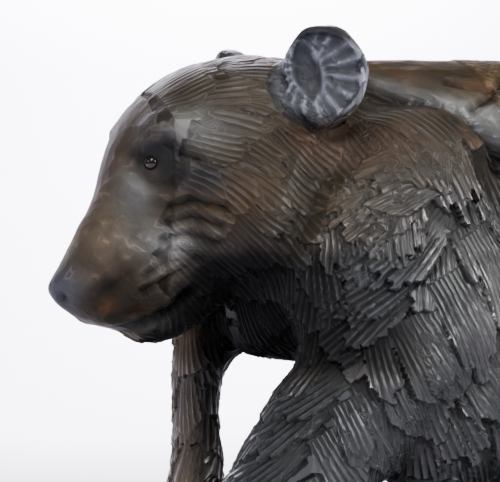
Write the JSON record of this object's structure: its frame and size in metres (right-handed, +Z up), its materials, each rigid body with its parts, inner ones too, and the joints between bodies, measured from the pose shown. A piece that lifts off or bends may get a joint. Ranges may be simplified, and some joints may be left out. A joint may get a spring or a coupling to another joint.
{
  "type": "carved wooden bear",
  "caption": "Dark stained wooden bear on all fours with a salmon on its back, gouge-cut fur and glass bead eyes, on a low plinth of the same block.",
  "frame": {"origin": "centre of the plinth's flat underside", "axes": "+Z up, the bear faces -X, its left side faces -Y"},
  "size_m": [0.419, 0.1847, 0.2623],
  "materials": {
    "stained_wood": "dark walnut and black stain rubbed through to brown on the high places, under satin lacquer",
    "eye_glass": "polished black glass bead"
  },
  "bodies": {
    "root": {"carved_bear": "stained_wood", "eye_left": "eye_glass", "eye_right": "eye_glass"}
  },
  "joints": []
}
